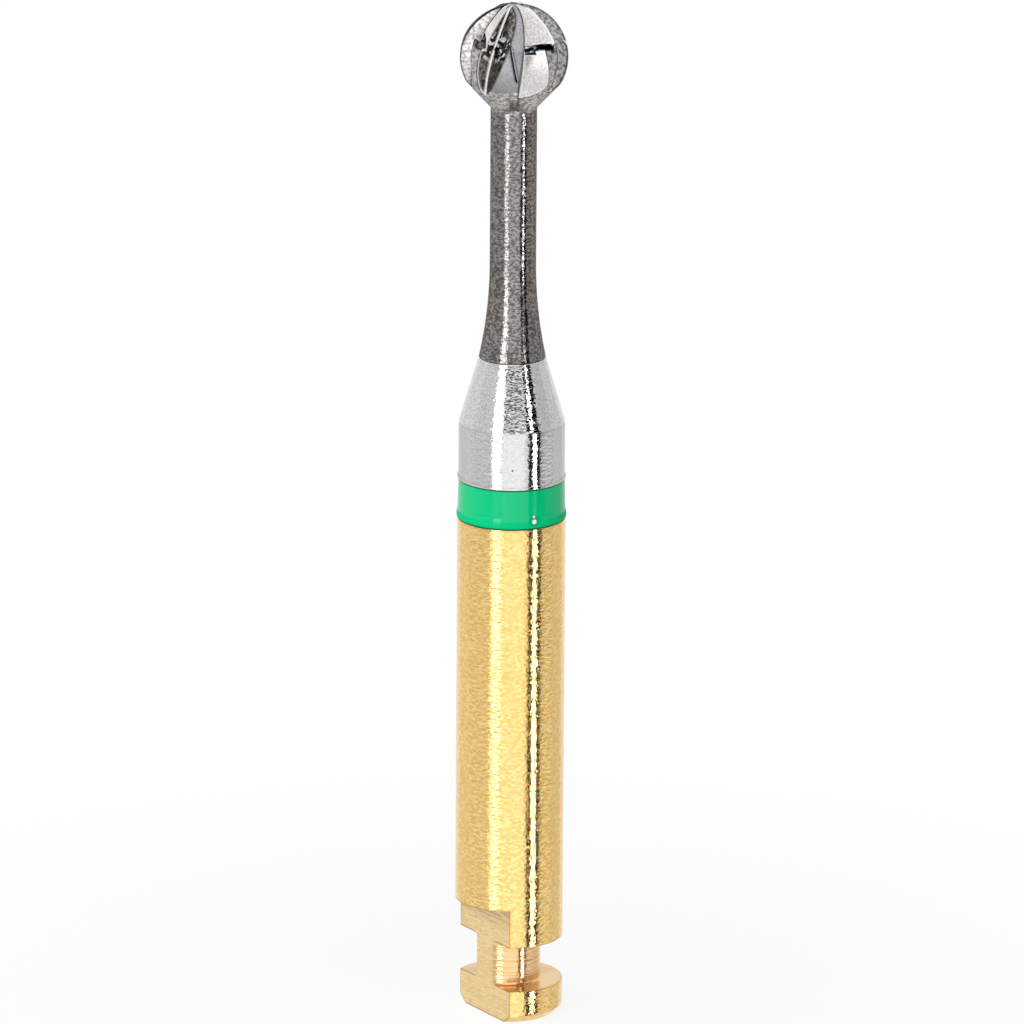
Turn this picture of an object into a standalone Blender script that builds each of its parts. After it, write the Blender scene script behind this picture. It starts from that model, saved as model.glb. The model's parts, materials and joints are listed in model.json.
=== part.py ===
"""A latch-type dental bur: an eight-bladed carbide ball on a slim neck, butt-joined to a turned steel shank.

The shank's lower end has the flange, groove and drive flat that lock it into a right-angle handpiece.
A green enamel ring sits in a shallow groove round the shank. The frame's origin is the centre of the
latch end face, and +Z runs up the axis to the head. Run it with blender --background --python part.py.
"""

import bmesh
import bpy
from math import asin, cos, degrees, pi, radians, sin, sqrt, tan
from mathutils import Vector

# Every size below is in metres and every angle in degrees

# Latch end of the shank, from its end face up
SHANK_DIAMETER = 0.00235
END_CHAMFER = 0.00018
FLANGE_LENGTH = 0.00075
FLANGE_CHAMFER = 0.00003
LATCH_GROOVE_LENGTH = 0.00099
LATCH_NECK_DIAMETER = 0.00138
LATCH_NECK_FILLET = 0.00007
DRIVE_FLAT_OFFSET = 0.00061
DRIVE_FLAT_LENGTH = 0.00259

# Rest of the shank, up to its joint with the carbide
BARREL_LENGTH = 0.00949
RING_WIDTH = 0.00089
RING_GROOVE_DEPTH = 0.0001
LAND_LENGTH = 0.00006
BARE_DIAMETER = 0.0023
BARE_LENGTH = 0.0012
CONE_LENGTH = 0.00144
JOINT_DIAMETER = 0.00145

# Colour ring: enamel that is beaded along its lower edge and thins towards its upper one
RING_BEAD_HEIGHT = 0.000018
RING_BEAD_WIDTH = 0.00016
RING_TOP_SINK = 0.00002

# Carbide neck and head
NECK_DIAMETER = 0.001005
NECK_LENGTH = 0.00555
NECK_FLARE_LENGTH = 0.00208
HEAD_DIAMETER = 0.00233
BACK_CONE_LENGTH = 0.00056
BACK_CONE_DROP = 0.00055

# Blades: their azimuths are anticlockwise from +X, seen from the head's end
BLADE_COUNT = 8
FIRST_EDGE_ANGLE = -75.5
UNEVEN_PITCHES = (50.0, 44.5)
BLADE_TWIST = 11.07

# Flutes between the blades
FLUTE_DEPTH = 0.00033
FLUTE_FLOOR_WIDTH = 0.000035
FLUTE_PATH_RADIUS = 0.00212
FLUTE_DEEPEST_LATITUDE = 20.0
FLUTE_LOW_LATITUDE = -25.0
FLUTE_TIP_DEPTH = 0.00003
FLUTE_TIP_ANGLE = 4.0
FLUTE_TIP_RUN = 10.0
FLUTE_AFTER_EDGE_ANGLE = 7.0
RAKE_FACE_LEAN = 21.0
NARROW_BACK_RISE = 28.0
WIDE_BACK_RISE = 8.0
LOWER_BACK_STEEPEST = 42.0
LOWER_BACK_FLATTEST = 2.0

# Notches from a flute's floor across the back: the wide ones run on past the cutting edge
NOTCH_DEPTH = 0.00013
NOTCH_STEEP_WIDTH = 0.00005
NOTCH_SLOPE_WIDTH = 0.00015
NOTCH_OVERRUN = 1.12
NOTCH_LATITUDES = ((19.0, 18.0), (24.0, 19.0), (19.0, 24.0), (30.0, 21.0))
SHORT_NOTCH_DEPTH = 0.00006
SHORT_NOTCH_LATITUDES = (24.0, 12.0)
SHORT_NOTCH_END_ANGLE = 22.0

# Slits ground slantwise over the lands, as latitude and angle behind the cutting edge
SLIT_WIDTH = 0.00005
SLIT_DEPTH = 0.00006
LAND_SLIT = ((24.0, 15.5), (-14.0, 1.0))
BACK_SLIT = ((14.0, 23.0), (-14.0, 11.0))

# Clearances
SEAT_GAP = 0.00001
GROOVE_CLEARANCE = 0.00012

# Smoothness
SHARP_ANGLE = 12.0
TURNED_SEGMENTS = 72
LATITUDE_STEP = 6.0
FILLET_STEPS = 4
FLARE_STEPS = 10
BEAD_STEPS = 6
SLIT_STEPS = 6
FLUTE_STATIONS = 30
FLUTE_END_ANGLE = 134.0
SLOPE_SPAN = 1.0

SHANK_RADIUS = SHANK_DIAMETER / 2
LATCH_NECK_RADIUS = LATCH_NECK_DIAMETER / 2
BARE_RADIUS = BARE_DIAMETER / 2
JOINT_RADIUS = JOINT_DIAMETER / 2
NECK_RADIUS = NECK_DIAMETER / 2
HEAD_RADIUS = HEAD_DIAMETER / 2

# Heights above the end face
GROOVE_TOP = FLANGE_LENGTH + LATCH_GROOVE_LENGTH
RING_BOTTOM = GROOVE_TOP + BARREL_LENGTH
RING_TOP = RING_BOTTOM + RING_WIDTH
LAND_TOP = RING_TOP + LAND_LENGTH
CONE_START = LAND_TOP + BARE_LENGTH
SHANK_TOP = CONE_START + CONE_LENGTH
NECK_START = SHANK_TOP + SEAT_GAP
BACK_CONE_START = NECK_START + NECK_LENGTH
HEAD_CENTRE = BACK_CONE_START + BACK_CONE_LENGTH + BACK_CONE_DROP


def clear_scene():
    for old in list(bpy.data.objects):
        bpy.data.objects.remove(old)


def finish(name, colour, roughness, metallic):
    """A Principled material for one of the bur's surfaces."""
    material = bpy.data.materials.new(name)
    material.use_nodes = True
    shader = material.node_tree.nodes["Principled BSDF"]
    shader.inputs["Base Color"].default_value = (*colour, 1.0)
    shader.inputs["Roughness"].default_value = roughness
    shader.inputs["Metallic"].default_value = metallic
    return material


def new_object(name, bm, material=None):
    """An object from a bmesh, with its faces turned outwards and its round stretches shaded smooth."""
    mesh = bpy.data.meshes.new(name)
    bmesh.ops.recalc_face_normals(bm, faces=bm.faces)
    bm.to_mesh(mesh)
    bm.free()
    if material:
        mesh.materials.append(material)
    mesh.shade_smooth()
    mesh.set_sharp_from_angle(angle=radians(SHARP_ANGLE))
    item = bpy.data.objects.new(name, mesh)
    bpy.context.scene.collection.objects.link(item)
    return item


def arc(centre_radius, centre_height, arc_radius, start, end, steps):
    """Profile points (radius, height) along an arc, its angles counted from the outward direction."""
    points = []
    for step in range(steps + 1):
        angle = radians(start + (end - start) * step / steps)
        points.append((centre_radius + arc_radius * cos(angle), centre_height + arc_radius * sin(angle)))
    return points


def turned(profile, closed_ring=False):
    """A solid of revolution about Z. Profile points on the axis are poles. A closed ring joins its ends."""
    bm = bmesh.new()
    angles = [2 * pi * i / TURNED_SEGMENTS for i in range(TURNED_SEGMENTS)]
    rings = []
    for radius, height in profile:
        if radius == 0:
            rings.append([bm.verts.new((0, 0, height))])
        else:
            rings.append([bm.verts.new((radius * cos(a), radius * sin(a), height)) for a in angles])
    pairs = list(zip(rings, rings[1:]))
    if closed_ring:
        pairs.append((rings[-1], rings[0]))
    for lower, upper in pairs:
        for i in range(TURNED_SEGMENTS):
            j = (i + 1) % TURNED_SEGMENTS
            corners = [lower[i % len(lower)], lower[j % len(lower)]]
            corners += [upper[j % len(upper)], upper[i % len(upper)]]
            bm.faces.new(list(dict.fromkeys(corners)))
    return bm


def cut(item, cutters):
    """Takes the cutters' shapes out of the item in one go, and hides the cutters."""
    tools = bpy.data.collections.new(item.name + "_cutters")
    bpy.context.scene.collection.children.link(tools)
    for cutter in cutters:
        cutter.hide_render = True
        cutter.display_type = "WIRE"
        bpy.context.scene.collection.objects.unlink(cutter)
        tools.objects.link(cutter)
    modifier = item.modifiers.new(tools.name, "BOOLEAN")
    modifier.operation = "DIFFERENCE"
    modifier.operand_type = "COLLECTION"
    modifier.collection = tools


def shank_profile():
    """Outline of the turned steel, from the centre of the end face up to the joint with the carbide."""
    fillet = LATCH_NECK_FILLET
    fillet_centre = LATCH_NECK_RADIUS + fillet
    ring_floor = SHANK_RADIUS - RING_GROOVE_DEPTH
    profile = [(0, 0), (SHANK_RADIUS - END_CHAMFER, 0), (SHANK_RADIUS, END_CHAMFER)]
    profile += [(SHANK_RADIUS, FLANGE_LENGTH - FLANGE_CHAMFER)]
    profile += [(SHANK_RADIUS - FLANGE_CHAMFER, FLANGE_LENGTH)]
    profile += arc(fillet_centre, FLANGE_LENGTH + fillet, fillet, 270, 180, FILLET_STEPS)
    profile += arc(fillet_centre, GROOVE_TOP - fillet, fillet, 180, 90, FILLET_STEPS)
    profile += [(SHANK_RADIUS, GROOVE_TOP), (SHANK_RADIUS, RING_BOTTOM), (ring_floor, RING_BOTTOM)]
    profile += [(ring_floor, RING_TOP), (SHANK_RADIUS, RING_TOP), (SHANK_RADIUS, LAND_TOP)]
    profile += [(BARE_RADIUS, LAND_TOP), (BARE_RADIUS, CONE_START), (JOINT_RADIUS, SHANK_TOP), (0, SHANK_TOP)]
    return profile


def make_shank():
    """The latch shank: one turned piece with the drive flat milled across its lower end."""
    gold = finish("gold_plated_steel", (0.86, 0.66, 0.34), roughness=0.24, metallic=1.0)
    steel = finish("bare_steel", (0.62, 0.61, 0.59), roughness=0.28, metallic=1.0)
    shank = new_object("latch_shank", turned(shank_profile()), gold)
    shank.data.materials.append(steel)
    for face in shank.data.polygons:
        face.material_index = int(face.center.z > RING_TOP)

    bm = bmesh.new()
    bmesh.ops.create_cube(bm, size=1)
    size = Vector((2 * SHANK_DIAMETER, SHANK_DIAMETER, 2 * DRIVE_FLAT_LENGTH))
    bmesh.ops.scale(bm, vec=size, verts=bm.verts)
    bmesh.ops.translate(bm, vec=(0, -DRIVE_FLAT_OFFSET - SHANK_RADIUS, 0), verts=bm.verts)
    cut(shank, [new_object("drive_flat_cutter", bm)])
    return shank


def make_colour_ring():
    """The enamel ring in its groove, with a bead along its lower edge."""
    inner = SHANK_RADIUS - RING_GROOVE_DEPTH + SEAT_GAP
    bottom = RING_BOTTOM + SEAT_GAP
    top = RING_TOP - SEAT_GAP
    profile = [(inner, bottom)]
    for step in range(BEAD_STEPS + 1):
        share = step / BEAD_STEPS
        radius = SHANK_RADIUS + RING_BEAD_HEIGHT * sin(pi * share)
        profile.append((radius, bottom + RING_BEAD_WIDTH * share))
    profile += [(SHANK_RADIUS - RING_TOP_SINK, top), (inner, top)]
    enamel = finish("green_enamel", (0.0, 0.45, 0.17), roughness=0.12, metallic=0.0)
    return new_object("colour_ring", turned(profile, closed_ring=True), enamel)


def head_profile():
    """Outline of the carbide blank: a concave flare, the neck, the back cone and the ball."""
    flare_drop = JOINT_RADIUS - NECK_RADIUS
    flare_radius = (NECK_FLARE_LENGTH**2 + flare_drop**2) / (2 * flare_drop)
    flare_angle = degrees(asin(NECK_FLARE_LENGTH / flare_radius))
    flare_top = NECK_START + NECK_FLARE_LENGTH
    corner_latitude = -degrees(asin(BACK_CONE_DROP / HEAD_RADIUS))
    ball_steps = round((90 - corner_latitude) / LATITUDE_STEP)
    profile = [(0, NECK_START)]
    profile += arc(NECK_RADIUS + flare_radius, flare_top, flare_radius, 180 + flare_angle, 180, FLARE_STEPS)
    profile += [(NECK_RADIUS, BACK_CONE_START)]
    profile += arc(0, HEAD_CENTRE, HEAD_RADIUS, corner_latitude, 90, ball_steps)[:-1]
    profile += [(0, HEAD_CENTRE + HEAD_RADIUS)]
    return profile


def edge_angles():
    """The azimuth of each cutting edge at the head's widest level. Two gaps between blades are uneven."""
    angles = [FIRST_EDGE_ANGLE]
    for pitch in UNEVEN_PITCHES:
        angles.append(angles[-1] + pitch)
    even_pitch = (360 - sum(UNEVEN_PITCHES)) / (BLADE_COUNT - len(UNEVEN_PITCHES))
    while len(angles) < BLADE_COUNT:
        angles.append(angles[-1] + even_pitch)
    return angles


def flute_floor(polar_angle):
    """Radius and height, from the ball's centre, of the flute's floor in a direction from the pole.

    The grinding wheel runs along an arc whose deepest point lies at FLUTE_DEEPEST_LATITUDE. Near the
    pole the floor follows the ball at a small depth instead, so that the blades meet in the middle.
    """
    centre_distance = FLUTE_PATH_RADIUS - (HEAD_RADIUS - FLUTE_DEPTH)
    turn = radians(polar_angle - (90 - FLUTE_DEEPEST_LATITUDE))
    reach = sqrt(FLUTE_PATH_RADIUS**2 - (centre_distance * sin(turn)) ** 2) - centre_distance * cos(turn)
    if polar_angle < 90:
        tip_share = min(1, (polar_angle - FLUTE_TIP_ANGLE) / FLUTE_TIP_RUN)
        reach = min(reach, HEAD_RADIUS - FLUTE_TIP_DEPTH * tip_share)
    return reach * sin(radians(polar_angle)), reach * cos(radians(polar_angle))


def at_azimuth(radius, height, sideways, azimuth):
    """World point from a radius, a height above the ball's centre and a tangential offset.

    The azimuth is that of the widest level, from which the blades twist on with the height.
    """
    angle = radians(azimuth + BLADE_TWIST * height / HEAD_RADIUS)
    x = radius * cos(angle) - sideways * sin(angle)
    y = radius * sin(angle) + sideways * cos(angle)
    return Vector((x, y, HEAD_CENTRE + height))


def on_ball(latitude, azimuth, depth=0.0):
    """World point under the ball's surface, at a latitude and beside a blade of the given azimuth."""
    reach = HEAD_RADIUS - depth
    return at_azimuth(reach * cos(radians(latitude)), reach * sin(radians(latitude)), 0, azimuth)


def swept(name, rows):
    """A cutter whose cross-sections are the given rows of points, closed at both ends."""
    bm = bmesh.new()
    rows = [[bm.verts.new(point) for point in row] for row in rows]
    for first, second in zip(rows, rows[1:]):
        for i in range(len(first)):
            j = (i + 1) % len(first)
            bm.faces.new((first[i], first[j], second[j], second[i]))
    bm.faces.new(rows[0])
    bm.faces.new(rows[-1])
    return new_object(name, bm)


def back_rise(latitude, split):
    """How steeply a blade's back climbs from its flute, in degrees.

    With no split the back is a narrow one. Above a split latitude it is wide and reaches the cutting
    edge. Below the split it starts steep and gets flatter.
    """
    if split is None:
        return NARROW_BACK_RISE
    if latitude > split:
        return WIDE_BACK_RISE
    share = min(1, (split - latitude) / (split - FLUTE_LOW_LATITUDE))
    return LOWER_BACK_STEEPEST + (LOWER_BACK_FLATTEST - LOWER_BACK_STEEPEST) * share


def flute_cutter(name, azimuth, split=None):
    """The space that one flute takes: a lopsided V swept down the ball.

    Its steep side leaves the rake face of the blade before it, and its shallow side the back of the
    next one.
    """
    half = FLUTE_FLOOR_WIDTH / 2
    reach = HEAD_RADIUS
    rake_side = -half - reach * tan(radians(RAKE_FACE_LEAN))
    back_side = half + reach
    rows = []
    for station in range(FLUTE_STATIONS + 1):
        polar_angle = FLUTE_TIP_ANGLE + (FLUTE_END_ANGLE - FLUTE_TIP_ANGLE) * station / FLUTE_STATIONS
        before, after = flute_floor(polar_angle - SLOPE_SPAN), flute_floor(polar_angle + SLOPE_SPAN)
        along = Vector(after) - Vector(before)
        along.normalize()
        radius, height = flute_floor(polar_angle)
        climb = reach * tan(radians(back_rise(90 - polar_angle, split)))
        section = [(-half, 0), (half, 0), (back_side, climb), (back_side, reach), (rake_side, reach)]
        row = []
        for side, up in section:
            row.append(at_azimuth(radius - along.y * up, height + along.x * up, side, azimuth))
        rows.append(row)
    return swept(name, rows)


def groove_cutter(name, path, depth, lower_width, upper_width):
    """A V along a path of points on the surface. Its two widths are where it meets that surface."""
    centre = Vector((0, 0, HEAD_CENTRE))
    spread = (depth + GROOVE_CLEARANCE) / depth
    last = len(path) - 1
    rows = []
    for i, point in enumerate(path):
        ahead = path[min(i + 1, last)] - path[max(i - 1, 0)]
        outward = (point - centre).normalized()
        side = outward.cross(ahead).normalized()
        side = -side if side.z < 0 else side
        rim = point + outward * GROOVE_CLEARANCE
        upper, lower = side * upper_width * spread, side * lower_width * spread
        rows.append([point - outward * depth, rim + upper, rim - lower])
    return swept(name, rows)


def along_ball(start, end, azimuth):
    """Points over the ball between two places, each a latitude and an angle behind the edge at azimuth."""
    points = []
    for step in range(SLIT_STEPS + 1):
        share = step / SLIT_STEPS
        latitude = start[0] + (end[0] - start[0]) * share
        behind = start[1] + (end[1] - start[1]) * share
        points.append(on_ball(latitude, azimuth - behind))
    return points


def slit_cutter(name, ends, edge):
    return groove_cutter(name, along_ball(*ends, edge), SLIT_DEPTH, SLIT_WIDTH / 2, SLIT_WIDTH / 2)


def narrow_blade_cutters(number, edge, floor):
    """A flute that leaves a narrow back, the slit over the land and the short notch beside the flute."""
    start_latitude, end_latitude = SHORT_NOTCH_LATITUDES
    start = on_ball(start_latitude, floor, FLUTE_DEPTH)
    path = [start, on_ball(end_latitude, edge - SHORT_NOTCH_END_ANGLE)]
    width = NOTCH_STEEP_WIDTH
    return [
        flute_cutter(f"flute_{number}", floor),
        slit_cutter(f"land_slit_{number}", LAND_SLIT, edge),
        groove_cutter(f"short_notch_{number}", path, SHORT_NOTCH_DEPTH, width, width),
    ]


def wide_blade_cutters(number, edge, floor, latitudes):
    """A flute that leaves a wide back above its split, the notch across that back and the slit below it."""
    start_latitude, end_latitude = latitudes
    start = on_ball(start_latitude, floor, FLUTE_DEPTH)
    path = [start, start.lerp(on_ball(end_latitude, edge), NOTCH_OVERRUN)]
    return [
        flute_cutter(f"flute_{number}", floor, start_latitude),
        groove_cutter(f"notch_{number}", path, NOTCH_DEPTH, NOTCH_STEEP_WIDTH, NOTCH_SLOPE_WIDTH),
        slit_cutter(f"back_slit_{number}", BACK_SLIT, edge),
    ]


def make_head():
    """The carbide ball and its neck, ground from one blank. Blades with narrow and wide backs alternate."""
    carbide = finish("tungsten_carbide", (0.47, 0.45, 0.43), roughness=0.3, metallic=1.0)
    head = new_object("carbide_head", turned(head_profile()), carbide)
    edges = edge_angles()
    cutters = []
    for i, before in enumerate(edges):
        floor = before + FLUTE_AFTER_EDGE_ANGLE
        edge = edges[(i + 1) % len(edges)]
        if i % 2:
            cutters += wide_blade_cutters(i, edge, floor, NOTCH_LATITUDES[i // 2 % len(NOTCH_LATITUDES)])
        else:
            cutters += narrow_blade_cutters(i, edge, floor)
    cut(head, cutters)
    return head


def main():
    clear_scene()
    make_shank()
    make_colour_ring()
    make_head()


main()
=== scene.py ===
"""The looks of a latch-type dental bur: a ground carbide head, a turned shank and a green enamel ring.

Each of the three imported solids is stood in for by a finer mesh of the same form, with its own finishes.
Run it in Blender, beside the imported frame.
"""

import json
from math import asin, atan2, cos, degrees, exp, pi, radians, sin, sqrt, tan

import bmesh
import bpy
from mathutils import Matrix, Vector

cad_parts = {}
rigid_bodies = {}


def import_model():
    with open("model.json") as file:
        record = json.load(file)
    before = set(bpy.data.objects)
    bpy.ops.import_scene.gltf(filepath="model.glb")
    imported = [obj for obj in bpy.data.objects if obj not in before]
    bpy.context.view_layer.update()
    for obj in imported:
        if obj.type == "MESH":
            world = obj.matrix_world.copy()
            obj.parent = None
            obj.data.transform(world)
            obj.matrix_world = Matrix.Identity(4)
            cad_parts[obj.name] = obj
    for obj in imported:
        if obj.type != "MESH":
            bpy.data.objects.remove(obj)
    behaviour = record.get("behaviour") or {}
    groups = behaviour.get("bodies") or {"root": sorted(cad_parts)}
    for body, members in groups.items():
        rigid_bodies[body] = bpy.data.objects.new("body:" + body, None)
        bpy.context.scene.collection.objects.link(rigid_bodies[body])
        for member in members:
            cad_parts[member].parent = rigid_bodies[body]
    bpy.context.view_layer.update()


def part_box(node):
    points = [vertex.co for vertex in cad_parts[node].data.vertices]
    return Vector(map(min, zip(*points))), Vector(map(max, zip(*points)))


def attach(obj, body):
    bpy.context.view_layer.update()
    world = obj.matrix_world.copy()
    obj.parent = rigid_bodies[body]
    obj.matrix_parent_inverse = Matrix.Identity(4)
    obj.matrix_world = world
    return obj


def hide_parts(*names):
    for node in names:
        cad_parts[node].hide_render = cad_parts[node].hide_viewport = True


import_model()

# Millimetres in a metre: every size below is in metres, but what a finish measures is in millimetres
MM = 1000.0

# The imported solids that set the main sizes. Every angle below is in degrees
SHANK_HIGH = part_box("latch_shank")[1]
SHANK_RADIUS = SHANK_HIGH.x
SHANK_TOP = SHANK_HIGH.z
RING_LOW, RING_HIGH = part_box("colour_ring")

# Latch end of the shank
END_CHAMFER = 0.00018
FLANGE_LENGTH = 0.00075
FLANGE_CHAMFER = 0.00003
GROOVE_TOP = 0.00174
LATCH_NECK_RADIUS = 0.00069
LATCH_NECK_FILLET = 0.00007
DRIVE_FLAT_OFFSET = 0.00061
DRIVE_FLAT_LENGTH = 0.00259

# Rest of the shank
SEAT_GAP = 0.00001
RING_BOTTOM = RING_LOW.z - SEAT_GAP
RING_TOP = RING_HIGH.z + SEAT_GAP
RING_GROOVE_DEPTH = 0.0001
LAND_TOP = RING_TOP + 0.00006
BARE_RADIUS = 0.00115
CONE_START = 0.01338
JOINT_RADIUS = 0.000725
EDGE_EASE = 0.000012
EASE_GUARD = 1.4

# Colour ring
BEAD_HEIGHT = 0.000018
BEAD_CENTRE = RING_BOTTOM + 0.00008
BEAD_WIDTH = 0.00009
RING_TOP_SINK = 0.00002

# Carbide neck and head
HEAD_RADIUS = 0.001165
HEAD_CENTRE = 0.02149
NECK_RADIUS = 0.0005025
NECK_START = SHANK_TOP + SEAT_GAP
NECK_FLARE_LENGTH = 0.00208
BACK_CONE_START = 0.02038
BACK_CONE_DROP = 0.00055

# Blades and flutes, as the solid head has them
BLADE_COUNT = 8
FIRST_EDGE_ANGLE = -75.5
UNEVEN_PITCHES = (50.0, 44.5)
BLADE_TWIST = 11.07
FLUTE_DEPTH = 0.00033
FLUTE_FLOOR_WIDTH = 0.000035
FLUTE_PATH_RADIUS = 0.00212
FLUTE_DEEPEST_LATITUDE = 20.0
FLUTE_LOW_LATITUDE = -25.0
FLUTE_TIP_DEPTH = 0.00003
FLUTE_TIP_ANGLE = 4.0
FLUTE_TIP_RUN = 10.0
FLUTE_AFTER_EDGE_ANGLE = 7.0
RAKE_FACE_LEAN = 21.0
NARROW_BACK_RISE = 28.0
WIDE_BACK_RISE = 8.0
LOWER_BACK_STEEPEST = 42.0
LOWER_BACK_FLATTEST = 2.0
NOTCH_DEPTH = 0.00013
NOTCH_STEEP_WIDTH = 0.00005
NOTCH_SLOPE_WIDTH = 0.00015
NOTCH_OVERRUN = 1.12
NOTCH_LATITUDES = ((19.0, 18.0), (24.0, 19.0), (19.0, 24.0), (30.0, 21.0))
SHORT_NOTCH_DEPTH = 0.00006
SHORT_NOTCH_LATITUDES = (24.0, 12.0)
SHORT_NOTCH_END_ANGLE = 22.0
SLIT_WIDTH = 0.00005
SLIT_DEPTH = 0.00006
LAND_SLIT = ((24.0, 15.5), (-14.0, 1.0))
BACK_SLIT = ((14.0, 23.0), (-14.0, 11.0))
GROOVE_CLEARANCE = 0.00012

# Smoothness of the finer meshes
SHARP_ANGLE = 20.0
SHANK_SEGMENTS = 288
RING_ROWS = 44
HEAD_SEGMENTS = 240
EASE_STEPS = 4
LATITUDE_STEP = 1.5
FLARE_STEPS = 24
SLIT_STEPS = 20
FLUTE_STATIONS = 104
FLUTE_END_ANGLE = 134.0
SLOPE_SPAN = 1.0

# Camera
CAMERA_AZIMUTH = 57.5
CAMERA_ELEVATION = 16.2
CAMERA_DISTANCE = 0.29
CAMERA_ROLL = 0.36
VIEW_HEIGHT = 0.01131
VIEW_OFFSET = 0.000014
VIEW_WIDTH = 0.02219
SENSOR_WIDTH = 36.0

# Studio: the plain light from the key's side and all round, and the tent that metal sees
KEY_LEVEL = 1.75
FILL_LEVEL = 0.08
TENT_LEVEL = 0.76
TENT_SOFTNESS = 0.3
FLOOR_SIZE = 3.0

# How far the painted highlight lines and the painted shade lines beside the head's edges reach, and the
# brown painted shade lines beside the gold's
HEAD_HIGHLIGHT_LINE_REACH = 0.00009
HEAD_SHADE_LINE_REACH = 0.00008
GOLD_SHADE_REACH = 0.00007

# Painted highlights on the enamel, each in a ring of painted shade, and the pit in the bare steel with its
# painted shade: places and sizes in millimetres
ENAMEL_HIGHLIGHTS = (((1.165, -0.153, 11.402), 0.045), ((1.157, -0.162, 11.512), 0.026))
PIT_SHADE = (0.980, -0.602, 12.565)
PIT_SHADE_SIZE = 0.014

# Places of the finishes in the lists of materials of the shank and of the head's blank
GOLD, BARE, FLAT, GROOVE, CONE = range(5)
FIRST_LAND, NECK, OTHER_LAND = range(3)


class Out:
    """One output of a shader node. Python's operators on it add Math nodes to the same sheet."""

    def __init__(self, sheet, socket):
        self.sheet = sheet
        self.socket = socket

    def __add__(self, other):
        return self.sheet.maths("ADD", self, other)

    def __sub__(self, other):
        return self.sheet.maths("SUBTRACT", self, other)

    def __rsub__(self, other):
        return self.sheet.maths("SUBTRACT", other, self)

    def __mul__(self, other):
        return self.sheet.maths("MULTIPLY", self, other)

    __radd__ = __add__
    __rmul__ = __mul__


class Sheet:
    """The node sheet of one finish."""

    def __init__(self, tree):
        self.tree = tree
        tree.nodes.clear()

    def node(self, kind, settings=None, sockets=None, out=0):
        """Adds a node of a type, with its settings and the values or links of its sockets."""
        made = self.tree.nodes.new(kind)
        for name, value in (settings or {}).items():
            setattr(made, name, value)
        for key, value in (sockets or {}).items():
            if isinstance(value, Out):
                self.tree.links.new(value.socket, made.inputs[key])
            else:
                made.inputs[key].default_value = value
        return Out(self, made.outputs[out]) if len(made.outputs) else made

    def maths(self, operation, *values):
        return self.node("ShaderNodeMath", {"operation": operation}, dict(enumerate(values)))

    def dot(self, first, second):
        pair = {0: first, 1: second}
        return self.node("ShaderNodeVectorMath", {"operation": "DOT_PRODUCT"}, pair, "Value")

    def step(self, value, low, high):
        """0 below low, 1 above high and smooth between them."""
        limits = {"Value": value, "From Min": low, "From Max": high}
        return self.node("ShaderNodeMapRange", {"interpolation_type": "SMOOTHSTEP"}, limits)

    def band(self, value, low, high, soft):
        """1 from low to high and 0 beyond them, with soft ends."""
        return self.step(value, low - soft, low + soft) * (1 - self.step(value, high - soft, high + soft))

    def mix(self, share, first, second):
        """One colour turning into another as the share goes from 0 to 1."""
        return self.node("ShaderNodeMix", {"data_type": "RGBA"}, {0: share, 6: first, 7: second}, 2)

    def place(self):
        """The place on the bur, in millimetres, in the frame's own axes."""
        point = self.node("ShaderNodeTexCoord", out="Object")
        return self.node("ShaderNodeVectorMath", {"operation": "SCALE"}, {0: point, "Scale": MM})

    def height(self, place):
        return self.node("ShaderNodeSeparateXYZ", None, {0: place}, "Z")

    def spot(self, place, centre, size):
        """1 within a distance of a point and 0 from twice that distance on."""
        ends = {0: place, 1: centre}
        distance = self.node("ShaderNodeVectorMath", {"operation": "DISTANCE"}, ends, "Value")
        return 1 - self.step(distance, size, 2 * size)

    def grain(self, place, stretch, detail=2.0):
        """Noise whose cells are finest along the axis with the largest stretch."""
        spread = self.node("ShaderNodeVectorMath", {"operation": "MULTIPLY"}, {0: place, 1: stretch})
        return self.node("ShaderNodeTexNoise", None, {"Vector": spread, "Scale": 1.0, "Detail": detail})

    def relief(self, height, depth):
        """A bump whose height of 1 stands for a depth in metres."""
        return self.node("ShaderNodeBump", None, {"Strength": 1.0, "Distance": depth, "Height": height})


def rgb(*colour):
    return (*colour, 1.0)


WHITE = rgb(1.0, 1.0, 1.0)
# Black of the painted shade lines and painted shade patches on the head
SHADE_BLACK = rgb(0.01, 0.01, 0.01)


def new_finish(name):
    material = bpy.data.materials.new(name)
    material.use_nodes = True
    return material, Sheet(material.node_tree)


def surface(sheet, sockets):
    """The Principled shader of a finish, joined to its output."""
    shader = sheet.node("ShaderNodeBsdfPrincipled", None, sockets)
    sheet.node("ShaderNodeOutputMaterial", None, {"Surface": shader})


def edge_line(sheet, reach, least):
    """1 beside an edge and 0 on an even face. least is how far the face has to turn to count."""
    rounded = sheet.node("ShaderNodeBevel", {"samples": 8}, {"Radius": reach})
    even = sheet.node("ShaderNodeNewGeometry", out="Normal")
    return sheet.step(1 - sheet.dot(rounded, even), least, 2 * least)


def gold_plate():
    """Gold plating over fine turning marks: mottled and dimpled, with brown painted shade along its edges.
    """
    material, sheet = new_finish("gold_plate")
    place = sheet.place()
    dimples = sheet.grain(place, (10.0, 10.0, 17.0))
    clouds = sheet.grain(place, (4.0, 4.0, 2.5))
    colour = sheet.mix(sheet.step(dimples, 0.36, 0.64), rgb(0.88, 0.55, 0.17), rgb(1.0, 0.75, 0.32))
    colour = sheet.mix(sheet.step(clouds, 0.35, 0.7) * 0.5, colour, rgb(0.94, 0.62, 0.24))
    # Painted shade: brown lines along the edges of the plating
    colour = sheet.mix(edge_line(sheet, GOLD_SHADE_REACH, 0.02) * 0.7, colour, rgb(0.50, 0.27, 0.08))
    surface(sheet, {
        "Base Color": colour, "Metallic": 1.0, "Roughness": 0.14,
        "Anisotropic": 0.6, "Anisotropic Rotation": 0.25, "Normal": sheet.relief(dimples, 0.0000068)})
    return material


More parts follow.
